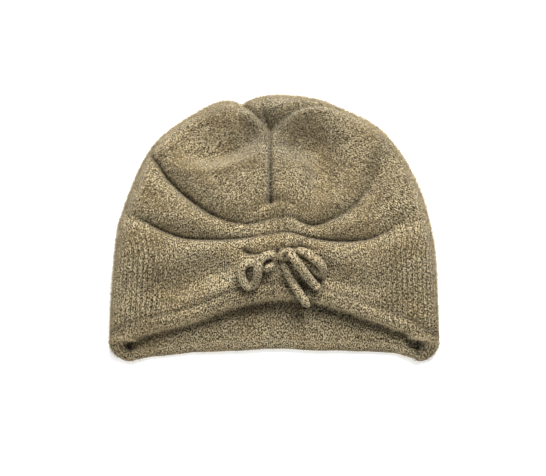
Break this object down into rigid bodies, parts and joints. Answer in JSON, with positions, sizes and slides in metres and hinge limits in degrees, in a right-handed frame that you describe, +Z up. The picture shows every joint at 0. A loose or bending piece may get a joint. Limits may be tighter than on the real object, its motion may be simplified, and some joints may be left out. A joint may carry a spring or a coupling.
{
  "type": "gathered knit beanie with a drawstring bow",
  "caption": "Soft knitted beanie lying on its back, with a rolled hem, a gathered front and a small drawstring bow.",
  "frame": {"origin": "under the middle of the cap, on the surface that it lies on", "axes": "+Z up out of the surface, towards the gathered front; +Y towards the crown; the mouth opens towards -Y; +X across, to the right of someone who looks at the front with the crown up"},
  "size_m": [0.2512, 0.2024, 0.0481],
  "materials": {
    "knit": "soft brushed melange knit",
    "cord": "narrow knitted cord"
  },
  "bodies": {
    "root": {"knit_cap": "knit", "bow_knot": "cord", "left_loop": "cord", "right_loop": "cord", "over_tail": "cord", "under_tail": "cord"}
  },
  "joints": []
}
